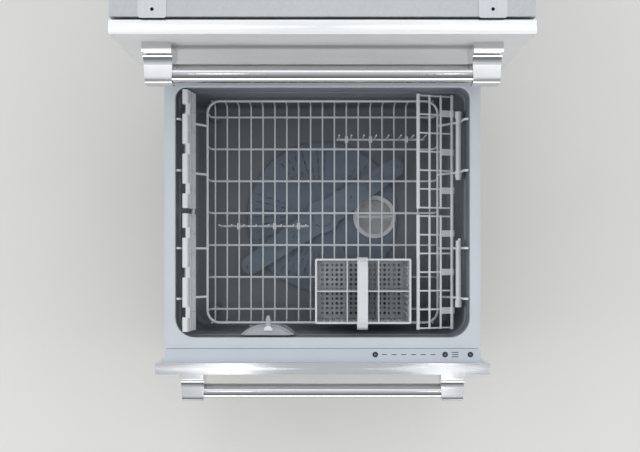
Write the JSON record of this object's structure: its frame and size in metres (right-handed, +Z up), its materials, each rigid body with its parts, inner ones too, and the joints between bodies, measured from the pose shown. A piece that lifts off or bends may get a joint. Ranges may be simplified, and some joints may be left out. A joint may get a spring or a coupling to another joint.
{
  "type": "two-drawer dishwasher",
  "caption": "Two-drawer stainless dishwasher, lower drawer drawn out with its basket, racks and cutlery basket; upper drawer closed",
  "frame": {"origin": "centre of the bounding box at floor level, lower drawer fully open, upper drawer closed", "axes": "+X to the right seen from the front, +Y from the user to the wall, +Z up"},
  "size_m": [0.599, 1.153, 0.8735],
  "materials": {
    "galvanised": "galvanised sheet with a fine spangle",
    "stainless": "stainless steel brushed across the width",
    "runner_steel": "zinc-plated cold-rolled steel",
    "tub_plastic": "pale blue-grey filled polypropylene, fine grain",
    "strip_plastic": "pale blue-grey moulded control strip",
    "grey_plastic": "mid grey moulded plastic",
    "filter_plastic": "blue-grey moulded plastic",
    "white_plastic": "white moulded plastic",
    "coated_wire": "white nylon-coated steel wire",
    "black_rubber": "black rubber",
    "black_plastic": "black moulded plastic",
    "painted_kick": "grey powder-coated sheet"
  },
  "bodies": {
    "cabinet": {"side_panel_left": "galvanised", "side_panel_right": "galvanised", "top_panel": "galvanised", "back_panel": "galvanised", "base_tray": "galvanised", "kick_plate": "painted_kick", "levelling_feet": "black_plastic", "centre_rail": "galvanised", "fixed_runners": "runner_steel", "lid_guides": "white_plastic", "worktop_brackets": "runner_steel", "inlet_valve": "white_plastic", "drain_spigot": "grey_plastic", "control_module": "grey_plastic", "cable_gland": "black_plastic"},
    "lower_lid_body": {"lower_lid": "white_plastic", "lower_lid_seal": "black_rubber"},
    "upper_lid_body": {"upper_lid": "white_plastic", "upper_lid_seal": "black_rubber"},
    "lower_mid_runner_body": {"lower_mid_runners": "runner_steel"},
    "upper_mid_runner_body": {"upper_mid_runners": "runner_steel"},
    "lower_drawer": {"lower_tub": "tub_plastic", "lower_inner_door": "strip_plastic", "lower_front_panel": "stainless", "lower_handle_bar": "stainless", "lower_handle_brackets": "stainless", "lower_drawer_runners": "runner_steel", "lower_wash_motor": "grey_plastic", "lower_filter_plate": "filter_plastic", "lower_basket": "coated_wire", "cutlery_basket": "white_plastic", "cutlery_handle": "white_plastic", "dispenser_body": "grey_plastic"},
    "upper_drawer": {"upper_tub": "tub_plastic", "upper_inner_door": "strip_plastic", "upper_front_panel": "stainless", "upper_handle_bar": "stainless", "upper_handle_brackets": "stainless", "upper_drawer_runners": "runner_steel", "upper_wash_motor": "grey_plastic", "upper_filter_plate": "filter_plastic", "upper_basket": "coated_wire"},
    "lower_spray_arm_body": {"lower_spray_arm": "filter_plastic"},
    "upper_spray_arm_body": {"upper_spray_arm": "filter_plastic"},
    "drain_filter_body": {"drain_filter": "white_plastic"},
    "cup_rack_rear_body": {"cup_rack_rear": "white_plastic"},
    "cup_rack_front_body": {"cup_rack_front": "white_plastic"},
    "wire_shelf_rear_body": {"wire_shelf_rear": "coated_wire"},
    "wire_shelf_front_body": {"wire_shelf_front": "coated_wire"},
    "fold_tines_left_body": {"fold_tines_left": "coated_wire"},
    "fold_tines_right_body": {"fold_tines_right": "coated_wire"},
    "dispenser_door_body": {"dispenser_door": "grey_plastic"},
    "rinse_cap_body": {"rinse_cap": "filter_plastic"},
    "lower_start_button_body": {"lower_start_button": "black_plastic"},
    "lower_lock_button_body": {"lower_lock_button": "black_plastic"},
    "lower_power_button_body": {"lower_power_button": "black_plastic"},
    "upper_start_button_body": {"upper_start_button": "black_plastic"},
    "upper_lock_button_body": {"upper_lock_button": "black_plastic"},
    "upper_power_button_body": {"upper_power_button": "black_plastic"}
  },
  "joints": [
    {"name": "lower_drawer_slide", "type": "slide", "parent": "cabinet", "child": "lower_drawer", "axis": [0, -1, 0], "range_m": [-0.522, 0]},
    {"name": "upper_drawer_slide", "type": "slide", "parent": "cabinet", "child": "upper_drawer", "axis": [0, -1, 0], "range_m": [0, 0.522]},
    {"name": "lower_runner_slide", "type": "slide", "parent": "cabinet", "child": "lower_mid_runner_body", "axis": [0, -1, 0], "range_m": [-0.261, 0]},
    {"name": "upper_runner_slide", "type": "slide", "parent": "cabinet", "child": "upper_mid_runner_body", "axis": [0, -1, 0], "range_m": [0, 0.261]},
    {"name": "lower_lid_lift", "type": "slide", "parent": "cabinet", "child": "lower_lid_body", "axis": [0, 0, 1], "range_m": [-0.006, 0]},
    {"name": "upper_lid_lift", "type": "slide", "parent": "cabinet", "child": "upper_lid_body", "axis": [0, 0, 1], "range_m": [-0.006, 0]},
    {"name": "lower_spray_arm_turn", "type": "hinge", "parent": "lower_drawer", "child": "lower_spray_arm_body", "pos_m": [0, -0.2281, 0.262], "axis": [0, 0, 1], "continuous": true},
    {"name": "upper_spray_arm_turn", "type": "hinge", "parent": "upper_drawer", "child": "upper_spray_arm_body", "pos_m": [0, 0.2939, 0.647], "axis": [0, 0, 1], "continuous": true},
    {"name": "drain_filter_turn", "type": "hinge", "parent": "lower_drawer", "child": "drain_filter_body", "pos_m": [0.105, -0.2281, 0.243], "axis": [0, 0, 1], "range_deg": [0, 90]},
    {"name": "cup_rack_rear_fold", "type": "hinge", "parent": "lower_drawer", "child": "cup_rack_rear_body", "pos_m": [-0.243, -0.11285, 0.39], "axis": [0, 1, 0], "range_deg": [0, 66]},
    {"name": "cup_rack_front_fold", "type": "hinge", "parent": "lower_drawer", "child": "cup_rack_front_body", "pos_m": [-0.243, -0.33695, 0.39], "axis": [0, 1, 0], "range_deg": [0, 66]},
    {"name": "wire_shelf_rear_fold", "type": "hinge", "parent": "lower_drawer", "child": "wire_shelf_rear_body", "pos_m": [0.243, -0.11285, 0.39], "axis": [0, 1, 0], "range_deg": [0, 70]},
    {"name": "wire_shelf_front_fold", "type": "hinge", "parent": "lower_drawer", "child": "wire_shelf_front_body", "pos_m": [0.243, -0.33695, 0.39], "axis": [0, 1, 0], "range_deg": [0, 70]},
    {"name": "fold_tines_left_fold", "type": "hinge", "parent": "lower_drawer", "child": "fold_tines_left_body", "pos_m": [-0.11375, -0.2485, 0.304], "axis": [1, 0, 0], "range_deg": [0, 84]},
    {"name": "fold_tines_right_fold", "type": "hinge", "parent": "lower_drawer", "child": "fold_tines_right_body", "pos_m": [0.11375, -0.0785, 0.304], "axis": [1, 0, 0], "range_deg": [0, 84]},
    {"name": "dispenser_door_swing", "type": "hinge", "parent": "lower_drawer", "child": "dispenser_door_body", "pos_m": [-0.1155, -0.4403, 0.3683], "axis": [-1, 0, 0], "range_deg": [0, 95]},
    {"name": "rinse_cap_turn", "type": "hinge", "parent": "lower_drawer", "child": "rinse_cap_body", "pos_m": [-0.081, -0.439, 0.393], "axis": [0, 1, 0], "range_deg": [0, 90]},
    {"name": "lower_start_button_press", "type": "slide", "parent": "lower_drawer", "child": "lower_start_button_body", "axis": [0, 0, -1], "range_m": [0, 0.0015], "stiffness_N_per_m": 400, "springref_m": -0.0005},
    {"name": "lower_lock_button_press", "type": "slide", "parent": "lower_drawer", "child": "lower_lock_button_body", "axis": [0, 0, -1], "range_m": [0, 0.0015], "stiffness_N_per_m": 400, "springref_m": -0.0005},
    {"name": "lower_power_button_press", "type": "slide", "parent": "lower_drawer", "child": "lower_power_button_body", "axis": [0, 0, -1], "range_m": [0, 0.0015], "stiffness_N_per_m": 400, "springref_m": -0.0005},
    {"name": "upper_start_button_press", "type": "slide", "parent": "upper_drawer", "child": "upper_start_button_body", "axis": [0, 0, -1], "range_m": [0, 0.0015], "stiffness_N_per_m": 400, "springref_m": -0.0005},
    {"name": "upper_lock_button_press", "type": "slide", "parent": "upper_drawer", "child": "upper_lock_button_body", "axis": [0, 0, -1], "range_m": [0, 0.0015], "stiffness_N_per_m": 400, "springref_m": -0.0005},
    {"name": "upper_power_button_press", "type": "slide", "parent": "upper_drawer", "child": "upper_power_button_body", "axis": [0, 0, -1], "range_m": [0, 0.0015], "stiffness_N_per_m": 400, "springref_m": -0.0005}
  ],
  "couplings": [
    {"joint": "lower_runner_slide", "follows": "lower_drawer_slide", "ratio": 0.5},
    {"joint": "upper_runner_slide", "follows": "upper_drawer_slide", "ratio": 0.5}
  ]
}
